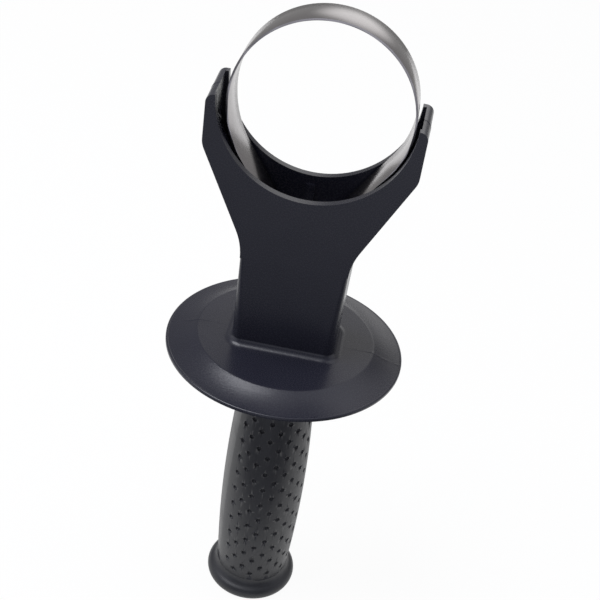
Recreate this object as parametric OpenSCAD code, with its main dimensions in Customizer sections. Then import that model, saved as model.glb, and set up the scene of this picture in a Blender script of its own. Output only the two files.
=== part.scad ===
// Side handle for a hand-held power tool, clamped round the tool's round collar.
// A steel strap in a teardrop loop grips the collar. Both strap ends wrap a T-headed bolt,
// which runs down the hollow yoke, through the hand guard and into a nut held in the grip.
// Turning the grip draws the bolt and the strap down and so tightens the loop.
// The origin is the centre of the strap's ring, the ring's axis is Y and the handle hangs along -Z.

/* [Strap] */
// Inner radius of the ring, which is the radius of the tool's collar
ring_r = 34.5; // [32:0.5:38]
// Thickness of the steel strap
strap_t = 0.8; // [0.5:0.1:1.2]
// Width of the strap along the collar
strap_w = 18; // [12:0.5:19]
// How far the loose ring leans sideways from the handle's own axis
ring_lean = 1; // [0:0.1:1.5]
// Inner radius of the strap's left side below the ring's middle, where it bends less
left_r = 44.2; // [40:0.2:50]
// Height of the T-head below the centre of the ring
head_drop = 54; // [50:1:60]

/* [Bolt and nut] */
// Diameter of the bolt's shank
bolt_d = 8; // [6:1:10]
// Diameter of the round cross bar that is the bolt's head
head_d = 8.6; // [8:0.1:10]
// Length of the cross bar
head_len = 18; // [14:0.5:18.5]
// How far the shank reaches past the nut
shank_past = 14; // [8:1:20]
// Length of the shank's tapered tip
bolt_tip = 1; // [0.5:0.1:1.5]
// Width of the nut across its flats
nut_af = 13; // [12:0.5:16]
// Height of the nut
nut_h = 6.5; // [5:0.5:9]
// Depth of the nut's top face below the top of the grip
nut_depth = 12; // [8:1:16]
// Outer diameter of the thrust washer
washer_d = 19.6; // [17:0.2:24]
// Thickness of the thrust washer
washer_t = 1.5; // [1:0.1:2.5]

/* [Yoke] */
// Depth of the yoke from its front face to its back face
yoke_d = 27.8; // [25:0.2:32]
// Thickness of the front and back walls
face_wall = 3.2; // [2.4:0.1:3.4]
// Thickness of the outer side walls
side_wall = 3; // [2:0.1:4]
// Half width across the arms at the front face
arm_x = 41; // [40:0.5:46]
// How much further out each side of the yoke stands at the back face
splay = 1; // [0.2:0.1:1.6]
// Height of the arm tips above the ring's centre
arm_top = 2; // [0:0.5:6]
// Rounding of the arms' outer top corners
arm_tip_r = 3.2; // [1:0.2:3.4]
// Height of the corners where the arms turn into the shoulders, below the ring's centre
corner_drop = 18; // [14:1:22]
// Rounding of those corners
corner_r = 9; // [4:1:14]
// Slant of the shoulders from the vertical, in degrees
shoulder_angle = 25.8; // [22:0.2:30]
// Radius of the sweep from the shoulders into the neck
sweep_r = 28; // [16:1:34]
// Radius of the saddle that the collar rests in
saddle_r = 37.5; // [37:0.1:39]
// Distance from the ring's centre to the bottom of the saddle
saddle_drop = 34.9; // [34.8:0.1:37]
// Half width of the neck
neck_x = 21.8; // [20:0.2:24]
// Rounding of the neck's upright edges at its top
neck_r_top = 1.6; // [0.6:0.2:3]
// Rounding of the neck's upright edges at its foot
neck_r_foot = 4.6; // [2:0.2:6]
// Depth of the neck at its foot, from front to back
neck_foot_d = 26.4; // [24:0.2:28]
// Fillet between the neck and the guard
foot_fillet = 1.8; // [1:0.1:3]
// Solid floor of the pocket above the guard
pocket_floor = 8; // [5:0.5:12]
// Width of the small rib on the back wall of the pocket
rib_w = 3.5; // [2:0.5:6]
// Height of that rib's top, below the ring's centre
rib_drop = 38.4; // [37:0.2:42]
// Thickness of the gussets inside the arms
gusset_t = 1.6; // [1:0.1:2.4]
// Height of the gussets' tops, below the ring's centre
gusset_drop = 11; // [8:0.5:14]
// How far the gussets stand out from the arms' inner sides
gusset_reach = 1.5; // [0.6:0.1:1.6]
// Height of the gussets, which end inside the shoulders
gusset_h = 9.5; // [9:0.5:12]

/* [Guard] */
// Radius of the hand guard
guard_r = 51; // [46:1:56]
// Radius of the guard's flat middle
guard_flat_r = 38.1; // [32:0.5:42]
// Distance from the ring's centre down to the guard's flat middle
guard_drop = 106; // [100:1:114]
// Fall of the guard's brim from the flat to the rim
brim_fall = 4; // [3:0.5:7]
// Slope at which the brim leaves the flat, in degrees
brim_start = 9; // [4:1:12]
// Thickness of the guard
guard_t = 2.6; // [2:0.1:3.5]
// Thickness of the guard at its rim
rim_t = 1.2; // [1:0.1:2]
// Rounding of the rim's upper edge
rim_r = 0.5; // [0.3:0.1:0.8]
// Radius of the hub under the guard
hub_r = 17; // [14:0.5:20]
// Height of that hub, below the guard's flat top
hub_h = 7.5; // [6:0.5:12]
// Radius of the socket in the hub that the grip turns in
socket_r = 10; // [9:0.5:12]
// Depth of that socket
socket_h = 5; // [3:0.5:6]

/* [Grip] */
// Greatest radius of the grip's barrel
barrel_r = 19.1; // [17:0.1:22]
// Distance from the grip's top down to the fullest part of the barrel
barrel_drop = 80; // [72:0.5:86]
// Radius of the barrel's long lengthwise curve
barrel_curve = 674; // [500:10:1200]
// Radius of the grip's straight top end
top_r = 16.4; // [15:0.1:17.6]
// Radius of the flared foot
flare_r = 21.6; // [20:0.2:25]
// Rounding of the flared foot's edge
flare_edge = 3.6; // [2:0.2:5]
// Radius of the hollow curve above the flared foot
flare_hollow = 4.6; // [3:0.2:8]
// Length of the grip
grip_len = 139.6; // [134:0.2:150]
// Radius of the hard core inside the grip
core_r = 13; // [11:0.5:14]
// Thickness of the soft sleeve over the core's end
end_wall = 4; // [2:0.5:6]
// Thickness of the core's flange over the top of the sleeve
flange_h = 3; // [2:0.5:5]
// Height above the flared foot's edge at which the hollow curve meets the barrel
hollow_rise = 8; // [5:0.5:12]
// Turn of the smooth strips from the handle's sides, in degrees
strip_turn = 19; // [0:1:40]
// Cut of the smooth strips into the barrel at the top
strip_cut_top = 1.2; // [0.2:0.1:1.6]
// Cut of the smooth strips into the barrel at the foot
strip_cut_foot = 0.45; // [0.1:0.05:1]

/* [Dimples] */
// Columns of dimples on each half of the grip
dimple_columns = 9; // [3:2:9]
// Angle between neighbouring columns
dimple_angle = 13.85; // [12:0.05:14]
// Distance between the dimples in one column
dimple_pitch = 9.5; // [7:0.5:14]
// Rows of dimples in one column
dimple_rows = 11; // [4:1:11]
// Height of the lowest dimple row above the end of the grip
dimple_rise = 15.4; // [14:0.2:20]
// Width of a dimple
dimple_d = 2.3; // [1.4:0.1:3]
// Depth of a dimple
dimple_h = 0.7; // [0.3:0.1:1]

/* [Clearances] */
// Radial running clearance of the shank in its nut
thread_gap = 0.05; // [0.02:0.01:0.1]
// Radial running clearance of the shank in the yoke and of the grip in its socket
run_gap = 0.08; // [0.02:0.01:0.1]
// Gap between faces that turn against each other
face_gap = 0.05; // [0.02:0.01:0.2]
// Gap between the strap's ends and the bar that they wrap
wrap_gap = 0.05; // [0.02:0.01:0.2]
// Clearance round the shank where it passes the strap's ends
slot_gap = 0.3; // [0.1:0.1:0.6]
// Radial clearance round the shank in the grip's long bore
bore_gap = 0.5; // [0.2:0.1:1]
// Travel of the bolt and strap as the grip is screwed in
draw_travel = 8; // [4:0.5:9]
// Room left under the shank's tip at the end of that travel
bore_room = 4; // [1:0.5:8]

/* [Hidden] */
$fn = 96;
big = 300;             // longer than any cut is deep
over = 1;              // how far a cut runs past the face that it opens
sink = 0.5;            // how far one form is sunk into the next, so that the two join
slice = 0.01;          // thickness of a level slice that the neck starts from
half_past = 5;         // how far half an outline runs on past the middle
corner_fn = 32;        // steps round the neck's small corners
brim_fn = 360;         // steps round the large circle that the brim is part of
barrel_fn = 720;       // steps round the barrel's very large circle
pit_fn = 24;           // steps round one dimple

// Heights of the guard, the hub and the grip, all measured from the centre of the ring
flat_z = -guard_drop;
hub_z = flat_z - hub_h;
socket_z = hub_z + socket_h;
spigot_z = socket_z - washer_t - 2 * face_gap;
grip_z = hub_z - 2 * face_gap;
sleeve_top_z = grip_z - flange_h;
nut_z = grip_z - nut_depth;
head_z = -head_drop;
bolt_r = bolt_d / 2;
bolt_end_z = nut_z - nut_h - shank_past;
bore_end_z = bolt_end_z - draw_travel - bore_room;
end_z = grip_z - grip_len;
barrel_z = grip_z - barrel_drop;
core_end_z = end_z + end_wall;
pocket_z = flat_z + pocket_floor;

// Where the outer side of one shoulder meets the neck and the rounded corner
neck_turn_z = -corner_drop - (arm_x - neck_x) / tan(shoulder_angle);
sweep_run = sweep_r * tan(shoulder_angle / 2);
corner_run = corner_r * tan(shoulder_angle / 2);
sweep_z = neck_turn_z - sweep_run;
// The same shoulder inside the pocket, one side wall further in
pocket_x = neck_x - side_wall;
pocket_arm_x = arm_x - side_wall;
pocket_corner_z = -corner_drop + side_wall * tan(shoulder_angle / 2);
pocket_turn_z = neck_turn_z + side_wall * tan(shoulder_angle / 2);
pocket_run = (sweep_r + side_wall) * tan(shoulder_angle / 2);
pocket_y = yoke_d / 2 - face_wall;
saddle_z = saddle_r - saddle_drop;

// Moves a piece from the handle's own axis to the ring's centre, which is the origin
module on_handle() {
    translate([-ring_lean, 0, 0]) children();
}

// An outline drawn in X and height, given a depth about the middle plane
module slab(depth) {
    rotate([90, 0, 0]) linear_extrude(height = depth, center = true) children();
}

module both_sides() {
    children();
    mirror([1, 0, 0]) children();
}

// A half outline as a slab on both sides, each turned a little so that it splays to the back
module splayed_slab(depth) {
    intersection() {
        cube([big, depth, big], center = true);
        both_sides()
            translate([arm_x, -yoke_d / 2, 0]) rotate([0, 0, -atan(splay / yoke_d)])
                translate([-arm_x, yoke_d / 2, 0]) slab(2 * yoke_d) children();
    }
}

// Half of a U-shaped outline: up the neck, round the sweep, up the shoulder and the arm.
// The corner's own rounding is a circle that the two lines touch. It starts past the middle.
module half_outline(foot_z, x_neck, turn_z, run, x_arm, corner_z, corner_cut, corner_round,
                    top_z, tip_round) {
    sweep = run / tan(shoulder_angle / 2);
    difference() {
        union() {
            polygon([
                [-half_past, foot_z],
                [x_neck, foot_z],
                [x_neck, turn_z - run],
                [x_neck + run * sin(shoulder_angle), turn_z + run * cos(shoulder_angle)],
                [x_arm - corner_cut * sin(shoulder_angle), corner_z - corner_cut * cos(shoulder_angle)],
                [x_arm, corner_z + corner_cut],
                [x_arm, top_z - tip_round],
                [x_arm - tip_round, top_z],
                [-half_past, top_z]
            ]);
            if (corner_round > 0)
                translate([x_arm - corner_round, corner_z + corner_cut]) circle(r = corner_round);
            if (tip_round > 0)
                translate([x_arm - tip_round, top_z - tip_round]) circle(r = tip_round);
        }
        translate([x_neck + sweep, turn_z - run]) circle(r = sweep);
    }
}

module yoke_outline() {
    half_outline(sweep_z, neck_x, neck_turn_z, sweep_run, arm_x, -corner_drop,
                 corner_run, corner_r, arm_top, arm_tip_r);
}

module pocket_outline() {
    half_outline(pocket_z, pocket_x, pocket_turn_z, pocket_run, pocket_arm_x, pocket_corner_z,
                 0, 0, arm_top + over, 0);
}

// A level slice with rounded corners, for the neck, which may be wider at the back
module rounded_slice(front_x, back_x, half_y, r) {
    hull()
        for (side = [-1, 1]) {
            translate([side * (front_x - r), r - half_y]) circle(r = r, $fn = corner_fn);
            translate([side * (back_x - r), half_y - r]) circle(r = r, $fn = corner_fn);
        }
}

module neck() {
    hull() {
        translate([0, 0, sweep_z])
            linear_extrude(height = slice)
                rounded_slice(neck_x, neck_x + splay, yoke_d / 2, neck_r_top);
        translate([0, 0, flat_z - sink])
            linear_extrude(height = sink) rounded_slice(neck_x, neck_x, neck_foot_d / 2, neck_r_foot);
    }
}

// The hollow corner between the neck and the guard: four straight runs and four quarter turns
module foot_fillet_profile() {
    difference() {
        translate([-sink, -sink]) square([foot_fillet + sink, foot_fillet + sink]);
        translate([foot_fillet, foot_fillet]) circle(r = foot_fillet);
    }
}

module neck_foot_fillet() {
    half_x = neck_x;
    half_y = neck_foot_d / 2;
    r = neck_r_foot;
    for (a = [0, 180])
        rotate([0, 0, a]) {
            translate([half_x, 0, flat_z]) rotate([90, 0, 0])
                linear_extrude(height = 2 * (half_y - r), center = true) foot_fillet_profile();
            translate([0, half_y, flat_z]) rotate([90, 0, 90])
                linear_extrude(height = 2 * (half_x - r), center = true) foot_fillet_profile();
            translate([half_x - r, half_y - r, flat_z])
                rotate_extrude(angle = 90) translate([r, 0]) foot_fillet_profile();
            translate([half_x - r, r - half_y, flat_z]) rotate([0, 0, -90])
                rotate_extrude(angle = 90) translate([r, 0]) foot_fillet_profile();
        }
}

// The guard's section: a flat middle and a brim that bends down on one arc, with a hub under it.
// The brim leaves the flat with a crease and gets thinner towards its rounded rim.
brim_run = guard_r - guard_flat_r;
brim_slope = atan(brim_fall / brim_run);
brim_r = norm([brim_run, brim_fall]) / (2 * sin(brim_slope - brim_start));
brim_c = [guard_flat_r, 0] - brim_r * [sin(brim_start), cos(brim_start)];
rim_turn = asin((guard_r - rim_r - brim_c.x) / (brim_r - rim_r));
rim_c = brim_c + (brim_r - rim_r) * [sin(rim_turn), cos(rim_turn)];

module brim_section() {
    difference() {
        intersection() {
            translate(brim_c) circle(r = brim_r, $fn = brim_fn);
            polygon([
                [guard_flat_r - sink, 0],
                [guard_r, 0],
                [guard_r, -brim_fall - rim_t],
                [guard_flat_r - sink, -guard_t]
            ]);
        }
        difference() {
            translate(rim_c) square(2 * rim_r);
            translate(rim_c) circle(r = rim_r);
        }
    }
}

module guard() {
    translate([0, 0, flat_z])
        rotate_extrude()
            union() {
                translate([0, -guard_t]) square([guard_flat_r, guard_t]);
                brim_section();
                translate([0, -hub_h]) square([hub_r, hub_h - sink]);
            }
}

module gussets() {
    wall_x = pocket_arm_x + splay / 2;
    both_sides()
        slab(gusset_t)
            polygon([
                [wall_x + sink, -gusset_drop],
                [wall_x, -gusset_drop],
                [wall_x - gusset_reach, -gusset_drop - gusset_reach],
                [wall_x - gusset_reach, -gusset_drop - gusset_h],
                [wall_x + sink, -gusset_drop - gusset_h]
            ]);
}

module clamp_yoke() {
    color("#33343c")
        on_handle()
            difference() {
                union() {
                    difference() {
                        union() {
                            splayed_slab(yoke_d) yoke_outline();
                            neck();
                        }
                        splayed_slab(2 * pocket_y) pocket_outline();
                    }
                    gussets();
                    translate([-rib_w / 2, strap_w / 2 + slot_gap, pocket_z - over])
                        cube([rib_w, pocket_y - strap_w / 2, -rib_drop - pocket_z + over]);
                    neck_foot_fillet();
                    guard();
                }
                translate([0, 0, saddle_z]) rotate([90, 0, 0])
                    cylinder(r = saddle_r, h = yoke_d + 2 * over, center = true);
                translate([-saddle_r, -yoke_d, arm_top]) cube([2 * saddle_r, 2 * yoke_d, big]);
                translate([0, 0, hub_z - over])
                    cylinder(r = bolt_r + run_gap, h = hub_h + pocket_floor + 2 * over);
                translate([0, 0, hub_z - over]) cylinder(r = socket_r, h = socket_h + over);
            }
}

// The strap runs round the ring, down two straight sides and round the bar, where its ends lap.
// The left side's end lies against the bar and the right side's end laps outside it.
inner_wrap = head_d / 2 + wrap_gap;
outer_wrap = inner_wrap + strap_t + wrap_gap;
ring_c = [ring_lean, 0];
left_c = ring_c + [left_r - ring_r, 0];
bar_c = [0, head_z];
wrap_past = 62;        // how far each end runs on past the bottom of the bar, in degrees
ring_overlap = 10;     // how far the strap's two halves share the top of the ring, in degrees
tuck = 0.02;           // how far one line lies inside the curve that it runs into
left_past = 4;         // how far the left side's arc runs on past its straight side, in degrees

// The direction from an arc's centre to the point where one straight side leaves the arc
function side_turn(side, arc_c, arc_r, wrap_r) =
    let (to_bar = bar_c - arc_c)
    atan2(to_bar.y, to_bar.x) + side * acos((arc_r - wrap_r) / norm(to_bar));
function way(turn) = [cos(turn), sin(turn)];

// The closed drop round the ring and the bar, seen from the front
module drop(wrap_r, grow) {
    left_turn = side_turn(-1, left_c, left_r, wrap_r);
    left = way(left_turn);
    right = way(side_turn(1, ring_c, ring_r, wrap_r));
    translate(ring_c) circle(r = ring_r + grow);
    translate(bar_c) circle(r = wrap_r + grow);
    intersection() {
        translate(left_c + [tuck, 0]) circle(r = left_r + grow);
        polygon([left_c, left_c - [big, 0], left_c + big * way(left_turn + left_past)]);
    }
    polygon([
        ring_c,
        left_c + (left_r + grow - tuck) * left,
        bar_c + (wrap_r + grow - tuck) * left,
        bar_c + (wrap_r + grow - tuck) * right,
        ring_c + (ring_r + grow - tuck) * right
    ]);
}

// The strap as a closed drop, with what lies between two directions from the bar left out
module strap_part(wrap_r, from, to) {
    difference() {
        slab(strap_w) drop(wrap_r, strap_t);
        slab(strap_w + 2 * over) drop(wrap_r, 0);
        slab(strap_w + 2 * over)
            translate([0, head_z])
                polygon([[0, 0], for (a = [from, (from + to) / 2, to]) big * [cos(a), sin(a)]]);
    }
}

module strap_loop() {
    strap_part(inner_wrap, wrap_past - 90, 90);
    strap_part(outer_wrap, 90 + ring_overlap, 270 - wrap_past);
}

module clamp_band() {
    color("#b9b4ae")
        on_handle()
            difference() {
                strap_loop();
                translate([0, 0, head_z - 2 * outer_wrap])
                    cylinder(r = bolt_r + slot_gap, h = 2 * outer_wrap);
            }
}

module clamp_bolt() {
    color("#8d8f92")
        on_handle()
            union() {
                translate([0, 0, head_z]) rotate([90, 0, 0])
                    cylinder(d = head_d, h = head_len, center = true);
                translate([0, 0, bolt_end_z + bolt_tip])
                    cylinder(r = bolt_r, h = head_z - bolt_end_z - bolt_tip);
                translate([0, 0, bolt_end_z]) cylinder(r1 = bolt_r - bolt_tip, r2 = bolt_r, h = bolt_tip);
            }
}

module thrust_washer() {
    color("#a5a8ab")
        on_handle()
            translate([0, 0, socket_z - face_gap - washer_t])
                difference() {
                    cylinder(d = washer_d, h = washer_t);
                    translate([0, 0, -over]) cylinder(r = bolt_r + slot_gap, h = washer_t + 2 * over);
                }
}

module nut_blank(h) {
    cylinder(d = nut_af / cos(30), h = h, $fn = 6);
}

module grip_core() {
    color("#26272b")
        on_handle()
            difference() {
                union() {
                    translate([0, 0, core_end_z]) cylinder(r = core_r, h = grip_z - core_end_z);
                    translate([0, 0, grip_z - sink])
                        cylinder(r = socket_r - run_gap, h = spigot_z - grip_z + sink);
                    translate([0, 0, sleeve_top_z]) cylinder(r = top_r, h = flange_h);
                }
                translate([0, 0, bore_end_z])
                    cylinder(r = bolt_r + bore_gap, h = spigot_z - bore_end_z + over);
                translate([0, 0, nut_z - nut_h]) nut_blank(nut_h);
            }
}

module grip_nut() {
    color("#9a9da0")
        on_handle()
            translate([0, 0, nut_z - nut_h])
                difference() {
                    nut_blank(nut_h);
                    translate([0, 0, -over]) cylinder(r = bolt_r + thread_gap, h = nut_h + 2 * over);
                }
}

// The barrel's own radius at a height, on its long lengthwise curve
function barrel_at(z) = barrel_r - barrel_curve + sqrt(barrel_curve * barrel_curve - pow(z - barrel_z, 2));

// Where the flared foot's edge and the hollow above it touch
flare_z = end_z + flare_edge;
flare_x = flare_r - flare_edge;
hollow_x = barrel_at(flare_z + hollow_rise) + flare_hollow;
hollow_z = flare_z + sqrt(pow(flare_edge + flare_hollow, 2) - pow(hollow_x - flare_x, 2));
barrel_top_z = barrel_z + sqrt(pow(barrel_curve, 2) - pow(barrel_curve - barrel_r + top_r, 2));

// The sleeve's section, from the axis to its outer line
module sleeve_section() {
    difference() {
        union() {
            intersection() {
                translate([barrel_r - barrel_curve, barrel_z]) circle(r = barrel_curve, $fn = barrel_fn);
                translate([0, flare_z]) square([big, barrel_top_z - flare_z]);
            }
            translate([0, barrel_top_z - over]) square([top_r, sleeve_top_z - barrel_top_z + over]);
            translate([flare_x, flare_z]) circle(r = flare_edge);
            translate([0, end_z]) square([flare_x, hollow_z - end_z]);
            polygon([
                [flare_x - over, flare_z],
                [flare_x, flare_z],
                [hollow_x, hollow_z],
                [flare_x - over, hollow_z]
            ]);
        }
        translate([hollow_x, hollow_z]) circle(r = flare_hollow);
        translate([-big, end_z - over]) square([big, big]);
    }
}

// A long smooth strip down each side of the barrel, cut a little below the barrel's own curve
// and deeper at the top than at the foot. Short flats follow the curve.
strip_flats = 12;
function strip_cut(z) = strip_cut_foot
    + (strip_cut_top - strip_cut_foot) * (z - hollow_z) / (barrel_top_z - hollow_z);
function strip_z(i) = hollow_z + (barrel_top_z - hollow_z) * i / strip_flats;
module strip_cuts() {
    for (side = [0, 180])
        rotate([0, 0, strip_turn + side])
            slab(2 * barrel_r)
                polygon(concat(
                    [for (i = [0:strip_flats]) [barrel_at(strip_z(i)) - strip_cut(strip_z(i)), strip_z(i)]],
                    [[barrel_r + over, barrel_top_z], [barrel_r + over, hollow_z]]
                ));
}

// One pit: a ball sunk so far that it leaves the stated width and depth
pit_r = (dimple_d * dimple_d / 4 + dimple_h * dimple_h) / (2 * dimple_h);
module dimples() {
    for (half = [0, 180])
        for (c = [0:dimple_columns - 1])
            for (row = [0:dimple_rows - 1]) {
                z = end_z + dimple_rise + (row + (c % 2 == 0 ? 0.5 : 0)) * dimple_pitch;
                turn = (c - (dimple_columns - 1) / 2) * dimple_angle;
                rotate([0, 0, strip_turn - 90 + half + turn])
                    translate([barrel_at(z) - dimple_h + pit_r, 0, z])
                        sphere(r = pit_r, $fn = pit_fn);
            }
}

module grip_sleeve() {
    color("#3a3b40")
        on_handle()
            difference() {
                rotate_extrude() sleeve_section();
                translate([0, 0, core_end_z]) cylinder(r = core_r, h = sleeve_top_z - core_end_z + over);
                strip_cuts();
                dimples();
            }
}

clamp_yoke();
clamp_band();
clamp_bolt();
thrust_washer();
grip_core();
grip_nut();
grip_sleeve();
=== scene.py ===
# %% [markdown]
# # A side handle for a power tool
#
# This scene dresses a side handle: the second grip that is clamped round the collar of a drill or a
# hammer. It has a black moulded yoke with a round hand guard, a springy steel strap in a loop, a
# bolt with a cross bar, and a dimpled rubber grip that turns on the bolt and draws the strap tight.
#
# The measured solids come in first, as a fixed frame. They are exact, but a bare solid has knife
# edges and no finish. So the lesson is about what a mould, a press and a rubber shop leave on the
# surface: small roundings, a rolled rim, a hollow fillet, a parting line, grain and brushing.

# %% Load the measured handle
import math

import bpy
from mathutils import Matrix, Vector


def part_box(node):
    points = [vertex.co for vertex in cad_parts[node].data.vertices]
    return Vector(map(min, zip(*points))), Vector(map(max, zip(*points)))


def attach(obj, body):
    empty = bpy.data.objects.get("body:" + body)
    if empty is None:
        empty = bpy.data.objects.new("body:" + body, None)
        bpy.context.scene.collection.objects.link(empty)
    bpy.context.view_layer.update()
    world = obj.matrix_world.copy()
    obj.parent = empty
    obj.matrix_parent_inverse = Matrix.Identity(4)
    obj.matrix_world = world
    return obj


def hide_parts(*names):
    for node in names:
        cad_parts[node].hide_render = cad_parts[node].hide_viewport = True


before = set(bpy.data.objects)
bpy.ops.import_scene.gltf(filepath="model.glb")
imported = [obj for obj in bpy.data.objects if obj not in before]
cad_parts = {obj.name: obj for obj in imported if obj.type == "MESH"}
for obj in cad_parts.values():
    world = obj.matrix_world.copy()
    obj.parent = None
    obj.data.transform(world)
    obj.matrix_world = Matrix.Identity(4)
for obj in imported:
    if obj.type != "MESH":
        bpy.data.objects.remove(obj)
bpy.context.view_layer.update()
print("solids:", sorted(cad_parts))

# %% [markdown]
# ## Sizes
#
# Blender works in metres here, and a workshop thinks in millimetres, so every size is a number of
# millimetres times MM. The floor's height is read from the grip, which stands on it.

# %% Sizes taken from the handle
MM = 0.001
HANDLE_X = -1.0 * MM      # the handle's own axis, beside the centre of the ring
sleeve_low, sleeve_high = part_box("grip_sleeve")
FLOOR_Z = sleeve_low.z
print("floor at, mm:", round(FLOOR_Z / MM, 1))
print("grip is long, mm:", round((sleeve_high.z - sleeve_low.z) / MM, 1))

# %% [markdown]
# ## The camera
#
# The photograph looks down at the handle by about a third of a right angle, and the camera leans
# a little. The camera comes first, because every finish is judged through it. It could be turned
# by three angles, but its place, its right hand and its line of sight are easier to measure.

# %% Camera at the photograph's angle
CAMERA_AT = Vector((24.1, -357.5, 149.7)) * MM
CAMERA_RIGHT = Vector((0.9805, 0.1462, 0.1317))
CAMERA_LOOKS = Vector((-0.05, 0.8323, -0.5521))
LENS_MM = 61.6
SENSOR_MM = 36.0
NEAREST = 10 * MM         # nothing closer than this is drawn

camera_up = CAMERA_RIGHT.cross(CAMERA_LOOKS)
camera_data = bpy.data.cameras.new("camera")
camera_data.lens = LENS_MM
camera_data.sensor_width = SENSOR_MM
camera_data.clip_start = NEAREST
camera = bpy.data.objects.new("camera", camera_data)
camera.matrix_world = Matrix((
    (CAMERA_RIGHT.x, camera_up.x, -CAMERA_LOOKS.x, CAMERA_AT.x),
    (CAMERA_RIGHT.y, camera_up.y, -CAMERA_LOOKS.y, CAMERA_AT.y),
    (CAMERA_RIGHT.z, camera_up.z, -CAMERA_LOOKS.z, CAMERA_AT.z),
    (0, 0, 0, 1),
))
bpy.context.scene.collection.objects.link(camera)
bpy.context.scene.camera = camera
bpy.context.scene.view_settings.view_transform = "Standard"
print("camera looks down by, degrees:", round(math.degrees(math.asin(-CAMERA_LOOKS.z)), 1))

# %% [markdown]
# ## Picking and finishing
#
# An operator acts on whatever is selected, so each step starts by picking exactly one piece. The
# solids arrive as loose triangles. A copy is welded, its flat areas are made whole again, and a
# narrow bevel rounds its sharp edges: no moulded or pressed edge is truly sharp, and the small
# rounding is what catches the light.

# %% Helpers that pick a piece and round its edges
WELD_GAP = 0.0005 * MM              # points closer than this are one point
FLAT_WITHIN = math.radians(0.2)     # faces that differ by less are one flat area
SHARP = math.radians(30)            # an edge that turns by more is sharp


def pick(piece):
    """Makes one piece the only selected and the active one."""
    bpy.ops.object.select_all(action="DESELECT")
    piece.select_set(True)
    bpy.context.view_layer.objects.active = piece


def welded_copy(node, name):
    """A copy of a measured solid with its triangles welded and its flat areas made whole."""
    piece = bpy.data.objects.new(name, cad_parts[node].data.copy())
    bpy.context.scene.collection.objects.link(piece)
    piece.data.materials.clear()
    pick(piece)
    bpy.ops.object.mode_set(mode="EDIT")
    bpy.ops.mesh.select_all(action="SELECT")
    bpy.ops.mesh.remove_doubles(threshold=WELD_GAP)
    bpy.ops.mesh.dissolve_limited(angle_limit=FLAT_WITHIN)
    bpy.ops.object.mode_set(mode="OBJECT")
    return piece


def round_edges(piece, width):
    """A bevel on the sharp edges only, and smooth shading over the rest."""
    pick(piece)
    bpy.ops.object.modifier_add(type="BEVEL")
    bevel = piece.modifiers[-1]
    bevel.width = width
    bevel.segments = 2
    bevel.limit_method = "ANGLE"
    bevel.angle_limit = SHARP
    bevel.miter_outer = "MITER_ARC"
    bpy.ops.object.modifier_apply(modifier=bevel.name)
    bpy.ops.object.shade_smooth_by_angle(angle=SHARP)


def finish_piece(piece, material, body, replaced):
    """Gives a piece its material and its body, and hides the solid it replaces."""
    piece.data.materials.clear()
    piece.data.materials.append(material)
    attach(piece, body)
    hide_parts(replaced)
    print(piece.name, len(piece.data.polygons), "faces, on", body)


# %% [markdown]
# ## Materials
#
# Each finish is a small node network on Object coordinates, so its grain has a real size. Painted
# pictures would need unwrapping and could not be scaled. The helpers make the material, a noise of
# a stated grain size, a ramp, a mix of two colours and a bump.

# %% Helpers for node materials
MID_SPAN = (0.35, 0.65)   # a fine noise lies between these values nearly everywhere
WIDE_SPAN = (0.3, 0.7)    # and a streaked or spangled one between these


def new_material(name):
    """A material, its node tree, its shader and the Object coordinates."""
    material = bpy.data.materials.new(name)
    material.use_nodes = True
    tree = material.node_tree
    shader = tree.nodes["Principled BSDF"]
    place = tree.nodes.new("ShaderNodeTexCoord").outputs["Object"]
    return material, tree, shader, place


def noise(tree, place, grain, detail=2.0, stretch=(1, 1, 1)):
    """Noise whose blobs are about one grain across, in metres."""
    mapping = tree.nodes.new("ShaderNodeMapping")
    mapping.inputs["Scale"].default_value = stretch
    texture = tree.nodes.new("ShaderNodeTexNoise")
    texture.inputs["Scale"].default_value = 1 / grain
    texture.inputs["Detail"].default_value = detail
    tree.links.new(place, mapping.inputs["Vector"])
    tree.links.new(mapping.outputs["Vector"], texture.inputs["Vector"])
    return texture.outputs["Fac"]


def ramp(tree, value, span, result):
    """Turns a value within a span into one within the span of the result."""
    node = tree.nodes.new("ShaderNodeMapRange")
    node.inputs["From Min"].default_value, node.inputs["From Max"].default_value = span
    node.inputs["To Min"].default_value, node.inputs["To Max"].default_value = result
    tree.links.new(value, node.inputs["Value"])
    return node.outputs["Result"]


def mix_colours(tree, value, first, second):
    """A colour between two, by a value from 0 to 1."""
    node = tree.nodes.new("ShaderNodeMix")
    node.data_type = "RGBA"
    node.inputs["A"].default_value = (*first, 1)
    node.inputs["B"].default_value = (*second, 1)
    tree.links.new(value, node.inputs["Factor"])
    return node.outputs["Result"]


def bump(tree, shader, height, depth):
    """Raises the surface by depth, in metres, where the height is 1."""
    node = tree.nodes.new("ShaderNodeBump")
    node.inputs["Distance"].default_value = depth
    tree.links.new(height, node.inputs["Height"])
    tree.links.new(node.outputs["Normal"], shader.inputs["Normal"])


# %% [markdown]
# ### Black moulded nylon
#
# The yoke is glass-filled nylon from a spark-eroded mould. Its colour is a bluish charcoal, and its
# fine grain breaks every highlight into specks. So one noise drives both the bump and the
# roughness, and a much wider one clouds the colour a little.

# %% Nylon of the yoke
NYLON_DARK = (0.0145, 0.015, 0.0235)
NYLON_LIGHT = (0.0195, 0.02, 0.0295)
NYLON_CLOUD = 14 * MM
NYLON_GRAIN = 0.5 * MM
NYLON_GRAIN_H = 0.04 * MM
NYLON_ROUGH = (0.22, 0.31)
NYLON_MIRROR = 0.42

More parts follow.
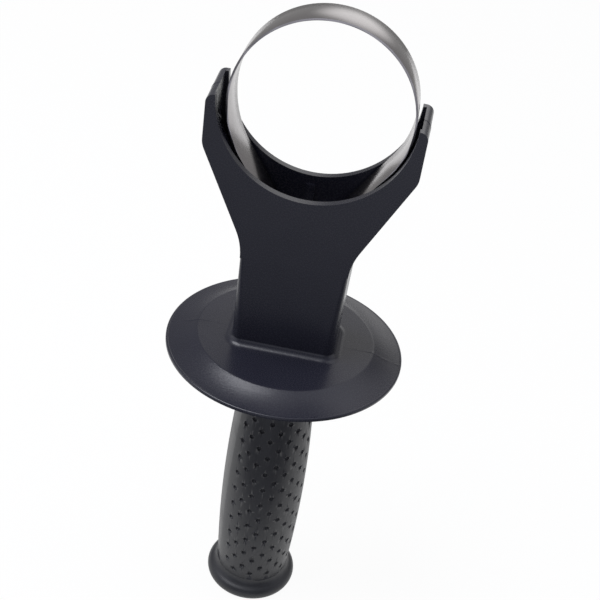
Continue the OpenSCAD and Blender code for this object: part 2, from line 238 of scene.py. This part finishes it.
nylon, tree, shader, place = new_material("yoke nylon")
cloud = noise(tree, place, NYLON_CLOUD)
tree.links.new(mix_colours(tree, cloud, NYLON_DARK, NYLON_LIGHT), shader.inputs["Base Color"])
grain = noise(tree, place, NYLON_GRAIN, detail=3)
tree.links.new(ramp(tree, grain, MID_SPAN, NYLON_ROUGH), shader.inputs["Roughness"])
shader.inputs["Specular IOR Level"].default_value = NYLON_MIRROR
bump(tree, shader, grain, NYLON_GRAIN_H)
print("nylon's roughness:", NYLON_ROUGH)

# %% [markdown]
# ### Soft rubber of the grip
#
# The grip is moulded rubber, duller than the nylon and a little more neutral in colour. It is made
# in the same way, with a finer and shallower grain.

# %% Rubber of the grip
RUBBER_DARK = (0.014, 0.0145, 0.0175)
RUBBER_LIGHT = (0.02, 0.0205, 0.0245)
RUBBER_CLOUD = 18 * MM
RUBBER_GRAIN = 0.4 * MM
RUBBER_GRAIN_H = 0.015 * MM
RUBBER_ROUGH = (0.36, 0.46)
RUBBER_MIRROR = 0.5

rubber, tree, shader, place = new_material("grip rubber")
cloud = noise(tree, place, RUBBER_CLOUD)
tree.links.new(mix_colours(tree, cloud, RUBBER_DARK, RUBBER_LIGHT), shader.inputs["Base Color"])
grain = noise(tree, place, RUBBER_GRAIN, detail=2)
tree.links.new(ramp(tree, grain, MID_SPAN, RUBBER_ROUGH), shader.inputs["Roughness"])
shader.inputs["Specular IOR Level"].default_value = RUBBER_MIRROR
bump(tree, shader, grain, RUBBER_GRAIN_H)
print("rubber's roughness:", RUBBER_ROUGH)

# %% [markdown]
# ### Rolled steel of the strap
#
# The strap is cold-rolled strip: a satin grey with a warm tint and fine lines along its length. The
# lines run round the ring, so the noise is squeezed along the strap's width.

# %% Steel of the strap
STEEL = (0.40, 0.385, 0.39)
STEEL_DULL = (0.33, 0.315, 0.32)
STEEL_CLOUD = 9 * MM
STEEL_LINES = 6 * MM      # length of the lines
LINES_SQUEEZE = 24        # they are this many times finer across the strap
LINES_H = 0.01 * MM
STEEL_ROUGH = (0.17, 0.26)

strap_steel, tree, shader, place = new_material("strap steel")
cloud = noise(tree, place, STEEL_CLOUD)
tree.links.new(mix_colours(tree, cloud, STEEL_DULL, STEEL), shader.inputs["Base Color"])
lines = noise(tree, place, STEEL_LINES, detail=4, stretch=(1, LINES_SQUEEZE, 1))
tree.links.new(ramp(tree, lines, WIDE_SPAN, STEEL_ROUGH), shader.inputs["Roughness"])
shader.inputs["Metallic"].default_value = 1.0
bump(tree, shader, lines, LINES_H)
print("steel's roughness:", STEEL_ROUGH)

# %% [markdown]
# ### Zinc-plated steel and core plastic
#
# Bolt, nut and washer are zinc plated, a cooler and rougher grey, with a faint spangle. The core is
# plain black plastic. Both are inside the handle, so a colour with one noise is enough.

# %% Steel of the bolt and plastic of the core
ZINC = (0.42, 0.43, 0.44)
ZINC_SPANGLE = 1.2 * MM
ZINC_ROUGH = (0.32, 0.5)
CORE_BLACK = (0.018, 0.018, 0.02)
CORE_GRAIN = 0.6 * MM
CORE_GRAIN_H = 0.02 * MM
CORE_ROUGH = (0.42, 0.55)

bolt_steel, tree, shader, place = new_material("bolt steel")
spangle = noise(tree, place, ZINC_SPANGLE)
tree.links.new(ramp(tree, spangle, WIDE_SPAN, ZINC_ROUGH), shader.inputs["Roughness"])
shader.inputs["Base Color"].default_value = (*ZINC, 1)
shader.inputs["Metallic"].default_value = 1.0

core_plastic, tree, shader, place = new_material("core plastic")
grain = noise(tree, place, CORE_GRAIN)
tree.links.new(ramp(tree, grain, MID_SPAN, CORE_ROUGH), shader.inputs["Roughness"])
shader.inputs["Base Color"].default_value = (*CORE_BLACK, 1)
bump(tree, shader, grain, CORE_GRAIN_H)
print("materials:", [m.name for m in (nylon, rubber, strap_steel, bolt_steel, core_plastic)])

# %% [markdown]
# ## The yoke
#
# Yoke, neck and guard are one moulding. The guard is flat in the middle, and its brim turns down
# with a crease and then flares out again, as a saucer does, so that the hand can't slip over it.
# That hollow is only a millimetre deep, but it decides where the light falls: the steep part next
# to the crease mirrors the lamp overhead, and the flat part next to the rim mirrors the dark yoke.
# The measured solid has the same crease and the same rim with a plain arc between them, so the
# points of that arc are set down onto the hollow one.

# %% Arcs of the brim
FLAT_R = 38.1 * MM        # radius of the crease
GUARD_R = 51 * MM         # radius of the rim
BRIM_FALL = 4 * MM        # how far the rim lies below the flat
SHALLOW = math.radians(9) # slope at the shallow end of either arc
GUARD_Z = -106 * MM       # height of the flat

chord_slope = math.atan(BRIM_FALL / (GUARD_R - FLAT_R))
STEEP = 2 * chord_slope - SHALLOW
ARC_R = math.hypot(BRIM_FALL, GUARD_R - FLAT_R) / (2 * math.sin(chord_slope - SHALLOW))
MID_R = (FLAT_R + GUARD_R) / 2


def domed(r):
    """Height of the solid's brim, whose slope grows towards the rim."""
    slope = math.asin(math.sin(SHALLOW) + (r - FLAT_R) / ARC_R)
    return GUARD_Z + ARC_R * (math.cos(slope) - math.cos(SHALLOW))


def dished(r):
    """Height of the finished brim, whose slope lessens towards the rim."""
    slope = math.asin(math.sin(STEEP) - (r - FLAT_R) / ARC_R)
    return GUARD_Z - ARC_R * (math.cos(slope) - math.cos(STEEP))


print("brim slopes, degrees:", [round(math.degrees(slope), 1) for slope in (STEEP, SHALLOW)])
print("set down half way, mm:", round((domed(MID_R) - dished(MID_R)) / MM, 2))

# %% Dish the brim
ROUND_R = 50.5 * MM       # outside this radius the rim is rounded over
GUARD_T = 2.6 * MM        # thickness of the guard's flat, and fall of its underside
SKIN = 0.5 * MM           # points less than this above the underside belong to it
PAST_CREASE = 0.02 * MM   # the crease itself stays where it is


def guard_radius(point):
    """Distance of a point from the handle's axis."""
    return math.hypot(point.x - HANDLE_X, point.y)


def on_brim_top(point):
    """True on the upper side of the brim, rounded rim included."""
    r = guard_radius(point)
    if not FLAT_R + PAST_CREASE < r < GUARD_R + SKIN:
        return False
    underside = GUARD_Z - GUARD_T * (1 + (r - FLAT_R) / (GUARD_R - FLAT_R))
    return underside + SKIN < point.z < GUARD_Z


yoke = welded_copy("clamp_yoke", "yoke_moulding")
moved = 0
for vertex in yoke.data.vertices:
    if on_brim_top(vertex.co):
        r = min(guard_radius(vertex.co), ROUND_R)
        vertex.co.z += dished(r) - domed(r)
        moved += 1
print("points set down:", moved)

# %% [markdown]
# ### Parting line
#
# The two halves of the mould meet in an upright plane through the handle, a little in front of its
# axis, and leave a fine raised line there. A painted line would not catch the light, so three cuts
# side by side make a strip of faces, and the middle row of points is pushed out by the height of
# the flash once the edges are rounded.

# %% Cut the strip of the parting line
PART_Y = -1.5 * MM        # the mould's halves meet here
FLASH_HALF = 0.16 * MM    # half the width of the flash
FLASH_H = 0.12 * MM       # its height

for offset in (-FLASH_HALF, 0, FLASH_HALF):
    pick(yoke)
    bpy.ops.object.mode_set(mode="EDIT")
    bpy.ops.mesh.select_all(action="SELECT")
    bpy.ops.mesh.bisect(plane_co=(0, PART_Y + offset, 0), plane_no=(0, 1, 0))
    bpy.ops.object.mode_set(mode="OBJECT")
print("faces with the strip:", len(yoke.data.polygons))

# %% Round the crease and the edges
CREASE_NEAR = 0.03 * MM
CREASE_ROUND = 0.4 * MM
YOKE_ROUND = 0.35 * MM


def select_edges(piece, wanted):
    """Selects the edges whose two ends pass the test, and enters edit mode."""
    pick(piece)
    bpy.ops.object.mode_set(mode="EDIT")
    bpy.ops.mesh.select_mode(type="EDGE")
    bpy.ops.mesh.select_all(action="DESELECT")
    bpy.ops.object.mode_set(mode="OBJECT")
    chosen = 0
    for edge in piece.data.edges:
        edge.select = wanted(*(piece.data.vertices[i].co for i in edge.vertices))
        chosen += edge.select
    bpy.ops.object.mode_set(mode="EDIT")
    return chosen


def on_crease(*ends):
    """True for an edge that lies on the crease between the flat and the brim."""
    return all(
        abs(guard_radius(end) - FLAT_R) < CREASE_NEAR and abs(end.z - GUARD_Z) < CREASE_NEAR
        for end in ends)


print("crease edges:", select_edges(yoke, on_crease))
bpy.ops.mesh.bevel(offset=CREASE_ROUND, segments=3)
bpy.ops.object.mode_set(mode="OBJECT")
round_edges(yoke, YOKE_ROUND)

# %% Raise the flash of the parting line
ON_PLANE = 0.002 * MM     # points this close to the plane are the middle row
NECK_CLEAR = 25 * MM      # nearer to the axis than this the neck hides the line
FLASH_END_R = 49.8 * MM   # and it runs out here, just before the rim
ARM_TOP_Z = -8 * MM       # above this the line shows on the outside of the arms
OUTWARD = 0.7             # a surface that faces out or up by less is an inner wall


def on_flash(vertex):
    """True on the middle row of the strip, on the guard's top and over the arms' outer sides."""
    point, normal = vertex.co, vertex.normal
    if abs(point.y - PART_Y) > ON_PLANE:
        return False
    on_flat = abs(point.z - GUARD_Z) < SKIN and NECK_CLEAR < guard_radius(point) < FLAT_R
    outward = normal.x * math.copysign(1, point.x) + max(normal.z, 0)
    on_arms = point.z > ARM_TOP_Z and outward > OUTWARD
    return on_flat or on_arms or (on_brim_top(point) and guard_radius(point) < FLASH_END_R)


pick(yoke)
bpy.ops.object.mode_set(mode="EDIT")
bpy.ops.mesh.select_mode(type="VERT")
bpy.ops.mesh.select_all(action="DESELECT")
bpy.ops.object.mode_set(mode="OBJECT")
raised = 0
for vertex in yoke.data.vertices:
    vertex.select = on_flash(vertex)
    raised += vertex.select
bpy.ops.object.mode_set(mode="EDIT")
bpy.ops.transform.shrink_fatten(value=FLASH_H)
bpy.ops.object.mode_set(mode="OBJECT")
bpy.ops.object.shade_smooth_by_angle(angle=SHARP)
print("points of the flash:", raised)

# %% [markdown]
# ### Bead of the rim and fillet of the neck
#
# The guard's rim is a small rolled bead, so it draws a bright line on the lit side. The neck grows
# out of the guard in a wide hollow fillet. Both are modelled on their own and joined to the yoke,
# because they are one moulding with it. The bead is a ring whose section is pressed a little flat.
# The fillet starts as a plate with rounded corners: its top is inset and drawn up inside the neck,
# and a bevel on the inner corner then fills it with a hollow curve.

# %% Bead of the rim
BEAD_R = 0.74 * MM        # half the bead's thickness
BEAD_FLAT = 0.94          # its height as a share of its width
BEAD_Z = GUARD_Z - BRIM_FALL - 0.46 * MM
BEAD_IN = 0.03 * MM       # the bead stays this much inside the solid's rim

bpy.ops.object.select_all(action="DESELECT")
bpy.ops.mesh.primitive_torus_add(
    location=(HANDLE_X, 0, BEAD_Z), major_segments=288, minor_segments=16,
    major_radius=GUARD_R - BEAD_IN - BEAD_R, minor_radius=BEAD_R)
bead = bpy.context.object
bpy.ops.object.mode_set(mode="EDIT")
bpy.ops.mesh.select_all(action="SELECT")
bpy.ops.transform.resize(value=(1, 1, BEAD_FLAT))
bpy.ops.object.mode_set(mode="OBJECT")
bpy.ops.object.transform_apply(location=True, rotation=True, scale=True)
bpy.ops.object.shade_smooth()
print("bead of the rim, faces:", len(bead.data.polygons))

# %% Plate under the fillet
FOOT_X = 21.78 * MM       # half the neck's width at its foot
FOOT_Y = 13.18 * MM       # half its depth
FOOT_CORNER = 4.6 * MM
FILLET = 3.2 * MM
PLATE_EDGE = 0.3 * MM     # the plate reaches this much past the fillet
PLATE_UP = 0.02 * MM      # and stands this much proud of the guard's flat
PLATE_T = 0.6 * MM
FILLET_STEPS = 10         # faces across each curve

reach = FILLET + PLATE_EDGE
bpy.ops.object.select_all(action="DESELECT")
bpy.ops.mesh.primitive_cube_add(size=1, location=(HANDLE_X, 0, GUARD_Z + PLATE_UP - PLATE_T / 2))
fillet = bpy.context.object
fillet.scale = (2 * (FOOT_X + reach), 2 * (FOOT_Y + reach), PLATE_T)
bpy.ops.object.transform_apply(location=True, rotation=True, scale=True)


def upright(a, b):
    """True for an edge at one of the plate's corners."""
    return abs(a.z - b.z) > PLATE_T / 2


print("upright edges:", select_edges(fillet, upright))
bpy.ops.mesh.bevel(offset=FOOT_CORNER + reach, segments=FILLET_STEPS)

# %% Fillet of the neck's foot
FACES_UP = 0.9            # a normal that rises more than this is on the top
CORNER_NEAR = 0.01 * MM


def in_corner(*ends):
    """True for an edge of the inner corner, where the plate meets the drawn-up part."""
    return all(
        abs(end.x - HANDLE_X) < FOOT_X + PLATE_EDGE and abs(end.y) < FOOT_Y + PLATE_EDGE
        and abs(end.z - GUARD_Z - PLATE_UP) < CORNER_NEAR for end in ends)


bpy.ops.mesh.select_mode(type="FACE")
bpy.ops.mesh.select_all(action="DESELECT")
bpy.ops.object.mode_set(mode="OBJECT")
for face in fillet.data.polygons:
    face.select = face.normal.z > FACES_UP
bpy.ops.object.mode_set(mode="EDIT")
bpy.ops.mesh.inset(thickness=reach, depth=0)
bpy.ops.mesh.extrude_region_move(TRANSFORM_OT_translate={"value": (0, 0, FILLET + PLATE_EDGE)})
bpy.ops.object.mode_set(mode="OBJECT")
print("corner edges:", select_edges(fillet, in_corner))
bpy.ops.mesh.bevel(offset=FILLET, segments=FILLET_STEPS)
bpy.ops.object.mode_set(mode="OBJECT")
bpy.ops.object.shade_smooth_by_angle(angle=SHARP)
print("fillet of the neck, faces:", len(fillet.data.polygons))

# %% [markdown]
# ### One moulding
#
# The three parts become one piece. Next to a narrow bevel, smooth shading tilts the light on the
# large flat beside it as well. Weighted normals give each corner to its largest face, so the flats
# stay flat to the light and only the roundings turn it.

# %% Join the bead and the fillet to the yoke
bpy.ops.object.select_all(action="DESELECT")
for piece in (bead, fillet, yoke):
    piece.select_set(True)
bpy.context.view_layer.objects.active = yoke
bpy.ops.object.join()
bpy.ops.object.modifier_add(type="WEIGHTED_NORMAL")
weighted = yoke.modifiers[-1]
weighted.keep_sharp = True
bpy.ops.object.modifier_apply(modifier=weighted.name)
finish_piece(yoke, nylon, "yoke", "clamp_yoke")

# %% [markdown]
# ## The strap
#
# The loop is a thin strip of sheet, sheared to width and deburred. The solid already has its bends,
# so all that the copy needs is a fine rounding along the sheared edges, about a tenth of a
# millimetre, which shows as the bright line round the ring.

# %% Dress the strap
STRAP_ROUND = 0.14 * MM

strap = welded_copy("clamp_band", "strap")
round_edges(strap, STRAP_ROUND)
finish_piece(strap, strap_steel, "clamp", "clamp_band")

# %% [markdown]
# ## The grip
#
# The rubber sleeve is a barrel with rows of small round pits on its front and back, and a smooth
# strip between them on either side. The pits look nearly black, because little light comes out of
# them. The solid's pits are a little too shallow for that, so each point of a pit is drawn further
# in, by its own depth. The barrel's long curve tells which points lie below the surface.

# %% Where the pits are
BARREL_R = 19.1 * MM                # greatest radius of the grip's barrel
BARREL_CURVE = 674 * MM             # radius of its long lengthwise curve
BARREL_Z = FLOOR_Z + 59.6 * MM      # height of its fullest part
STRIP_TURN = math.radians(19)       # the smooth strips are turned this far from the sides
PIT_FIELD = math.radians(60.5)      # the pits lie within this angle of each half's middle
PIT_LOW_Z, PIT_TOP_Z = -239.5 * MM, -136 * MM


def barrel_depth(point):
    """How far a point lies below the barrel's lengthwise curve."""
    along = point.z - BARREL_Z
    barrel = BARREL_R - BARREL_CURVE + math.sqrt(BARREL_CURVE ** 2 - along ** 2)
    return barrel - math.hypot(point.x - HANDLE_X, point.y)


def in_pit_field(point):
    """True on the half of the barrel's surface that has pits, and not on the smooth strips."""
    quarter = math.pi / 2
    turn = math.atan2(point.y, point.x - HANDLE_X) - STRIP_TURN - quarter
    turn = (turn + quarter) % math.pi - quarter
    return abs(turn) < PIT_FIELD and PIT_LOW_Z < point.z < PIT_TOP_Z


# %% Dress the grip
PIT_SKIN = 0.03 * MM                # a point of the plain surface is never deeper than this
PIT_DEPTH = 0.75 * MM               # and no pit of the solid is deeper than this
PIT_DEEPER = 1.55                   # depth of the finished pits, as a share of the solid's
GRIP_SHARP = math.radians(24)       # the pits' rims and the strips' borders stay sharp

grip = welded_copy("grip_sleeve", "grip")
pit_points = 0
for vertex in grip.data.vertices:
    depth = barrel_depth(vertex.co)
    if in_pit_field(vertex.co) and PIT_SKIN < depth < PIT_DEPTH:
        radius = math.hypot(vertex.co.x - HANDLE_X, vertex.co.y)
        closer = 1 - depth * (PIT_DEEPER - 1) / radius
        vertex.co.x = HANDLE_X + (vertex.co.x - HANDLE_X) * closer
        vertex.co.y *= closer
        pit_points += 1
print("points of the pits:", pit_points)
bpy.ops.object.shade_smooth_by_angle(angle=GRIP_SHARP)
finish_piece(grip, rubber, "grip", "grip_sleeve")

# %% [markdown]
# ## The pieces inside
#
# Bolt, washer, nut and core are turned or moulded parts that hardly show. Their solids already have
# the right shape, so they stay as they are and only get their finish.

# %% Dress the hidden pieces
for node, material in (
    ("clamp_bolt", bolt_steel),
    ("thrust_washer", bolt_steel),
    ("grip_nut", bolt_steel),
    ("grip_core", core_plastic),
):
    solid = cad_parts[node]
    solid.data.materials.clear()
    solid.data.materials.append(material)
    print(node, "in", material.name)

# %% [markdown]
# ## The floor
#
# The photograph is a product shot in a white tent. The camera sees pure white, and so do metal and
# gloss, but the floor still takes a soft shadow. So the floor is ordinary matt paint for the light
# that it throws back, and for the camera and for reflections it is mostly a plain white glow, with
# a share of the matt paint left in that keeps the shadow.

# %% Floor that is white to the camera and keeps its shadow
SHADOW_SHARE = 0.05
SHEET = 1600 * MM         # the floor is a sheet this wide
SHEET_FRONT = -60 * MM    # and it begins this far in front of the handle's axis
FLOOR_PAINT = (0.85, 0.85, 0.85)

bpy.ops.mesh.primitive_plane_add(size=SHEET, location=(0, SHEET_FRONT + SHEET / 2, FLOOR_Z))
floor = bpy.context.object
floor.name = "floor"
floor_paint = bpy.data.materials.new("floor paint")
floor_paint.use_nodes = True
tree = floor_paint.node_tree
tree.nodes.clear()


def add_up(tree, first, second):
    """The sum of two values."""
    node = tree.nodes.new("ShaderNodeMath")
    node.operation = "ADD"
    tree.links.new(first, node.inputs[0])
    tree.links.new(second, node.inputs[1])
    return node


def mix_shaders(tree, share, first, second):
    """A mix of two shaders. The share of the second one is a number or a socket."""
    node = tree.nodes.new("ShaderNodeMixShader")
    if isinstance(share, float):
        node.inputs["Fac"].default_value = share
    else:
        tree.links.new(share, node.inputs["Fac"])
    tree.links.new(first, node.inputs[1])
    tree.links.new(second, node.inputs[2])
    return node.outputs["Shader"]


out = tree.nodes.new("ShaderNodeOutputMaterial")
matt = tree.nodes.new("ShaderNodeBsdfDiffuse")
matt.inputs["Color"].default_value = (*FLOOR_PAINT, 1)
glow = tree.nodes.new("ShaderNodeEmission")
glow.inputs["Strength"].default_value = 1.0
ray = tree.nodes.new("ShaderNodeLightPath")
looked_at = add_up(tree, ray.outputs["Is Camera Ray"], ray.outputs["Is Glossy Ray"])
looked_at = add_up(tree, looked_at.outputs["Value"], ray.outputs["Is Transmission Ray"])
looked_at.use_clamp = True
seen = mix_shaders(tree, 1 - SHADOW_SHARE, matt.outputs["BSDF"], glow.outputs["Emission"])
surface = mix_shaders(tree, looked_at.outputs["Value"], matt.outputs["BSDF"], seen)
tree.links.new(surface, out.inputs["Surface"])
floor.data.materials.append(floor_paint)
print("floor from, mm:", round(SHEET_FRONT / MM), "to", round((SHEET_FRONT + SHEET) / MM))

# %% [markdown]
# ## The tent
#
# The world is the tent's cloth. It is dull, and dullest on the side of the camera, where the tent
# has its opening. Brighter fields in it stand for the windows and lamps behind the cloth. A black
# part shows its shape by what it mirrors, and the place of each field is worked out like a billiard
# shot: the camera's line is mirrored in the surface where the photograph has a highlight.

# %% Helpers for the tent's cloth
world = bpy.data.worlds.new("white tent")
bpy.context.scene.world = world
world.use_nodes = True
tree = world.node_tree
tree.nodes.clear()
toward = tree.nodes.new("ShaderNodeTexCoord").outputs["Generated"]
split = tree.nodes.new("ShaderNodeSeparateXYZ")
tree.links.new(toward, split.inputs["Vector"])


def direction(round_from_back, height):
    """The way to a place in the tent, from two angles in degrees."""
    turn, rise = math.radians(round_from_back), math.radians(height)
    return Vector((
        math.sin(turn) * math.cos(rise), math.cos(turn) * math.cos(rise), math.sin(rise)))


def tent_step(value, span, result):
    """A smooth step from one level to another while the value crosses a span."""
    stepped = ramp(tree, value, span, result)
    stepped.node.interpolation_type = "SMOOTHSTEP"
    return stepped


def bright_field(round_from_back, height, inner, outer, glow):
    """A round bright field in the cloth: its place, its core and its edge are angles in degrees."""
    node = tree.nodes.new("ShaderNodeVectorMath")
    node.operation = "DOT_PRODUCT"
    node.inputs[1].default_value = direction(round_from_back, height)
    tree.links.new(toward, node.inputs[0])
    span = math.cos(math.radians(outer)), math.cos(math.radians(inner))
    return tent_step(node.outputs["Value"], span, (0, glow))


# %% World as a tent
TENT_GLOW = (0.22, 0.34)         # glow of the cloth on the camera's side, and behind
TENT_TURNS = (-0.8, 0.3)         # from front to back, where it changes from one to the other
COOL = (0.88, 0.9, 1.0)          # daylight on the camera's side
NEUTRAL = (1.0, 0.99, 0.98)
COOL_TURNS = (-0.3, 0.9)
FIELDS = (
    (6, 22, 3, 22, 1.1),         # a window behind: the back of the brim
    (45, 66, 12, 34, 0.9),       # the top cloth to the right: the front right of the brim
    (-100, 5, 10, 50, 0.7),      # the left side: the edge of the grip's smooth strip
    (90, 10, 10, 45, 0.5),       # the right side
    (180, -8, 8, 30, 0.7),       # the room beyond the camera: the upright front faces
    (176, 62, 8, 20, 0.8),       # over the camera: the edges and the fillet at the front
)

glowing = tent_step(split.outputs["Y"], TENT_TURNS, TENT_GLOW)
for field in FIELDS:
    glowing = add_up(tree, glowing, bright_field(*field)).outputs["Value"]
plain = tree.nodes.new("ShaderNodeBackground")
plain.inputs["Strength"].default_value = 1.0
tent = tree.nodes.new("ShaderNodeBackground")
tint = mix_colours(tree, tent_step(split.outputs["Y"], COOL_TURNS, (0, 1)), COOL, NEUTRAL)
tree.links.new(tint, tent.inputs["Color"])
tree.links.new(glowing, tent.inputs["Strength"])
ray = tree.nodes.new("ShaderNodeLightPath")
cloth = mix_shaders(
    tree, ray.outputs["Is Camera Ray"], tent.outputs["Background"], plain.outputs["Background"])
out = tree.nodes.new("ShaderNodeOutputWorld")
tree.links.new(cloth, out.inputs["Surface"])
print("fields in the cloth:", len(FIELDS))

# %% [markdown]
# ## The soft box
#
# One lamp is bright enough to be a real soft box. It hangs above the handle, to the left and a
# little to the front. It draws the bright crescent on the guard's brim and the line in the fillet
# at the neck's foot. The glow of its face is stated, and the lamp's power follows from its size.

# %% Soft box overhead
BOX_AIM = Vector((0, 0, -100)) * MM  # it looks at the guard
BOX_WAY = direction(-103, 66)
BOX_AWAY = 1400 * MM
BOX_WIDE = 960 * MM
BOX_GLOW = 7.0
BOX_COLOUR = (0.93, 0.94, 1.0)

box_data = bpy.data.lights.new("overhead box", "AREA")
box_data.shape = "DISK"
box_data.size = BOX_WIDE
box_data.energy = BOX_GLOW * math.pi * math.pi * BOX_WIDE * BOX_WIDE / 4
box_data.color = BOX_COLOUR
box = bpy.data.objects.new("overhead box", box_data)
box.location = BOX_AIM + BOX_WAY * BOX_AWAY
box.rotation_euler = (BOX_AIM - box.location).to_track_quat("-Z", "Y").to_euler()
bpy.context.scene.collection.objects.link(box)
print("overhead box, watts:", round(box_data.energy, 1))
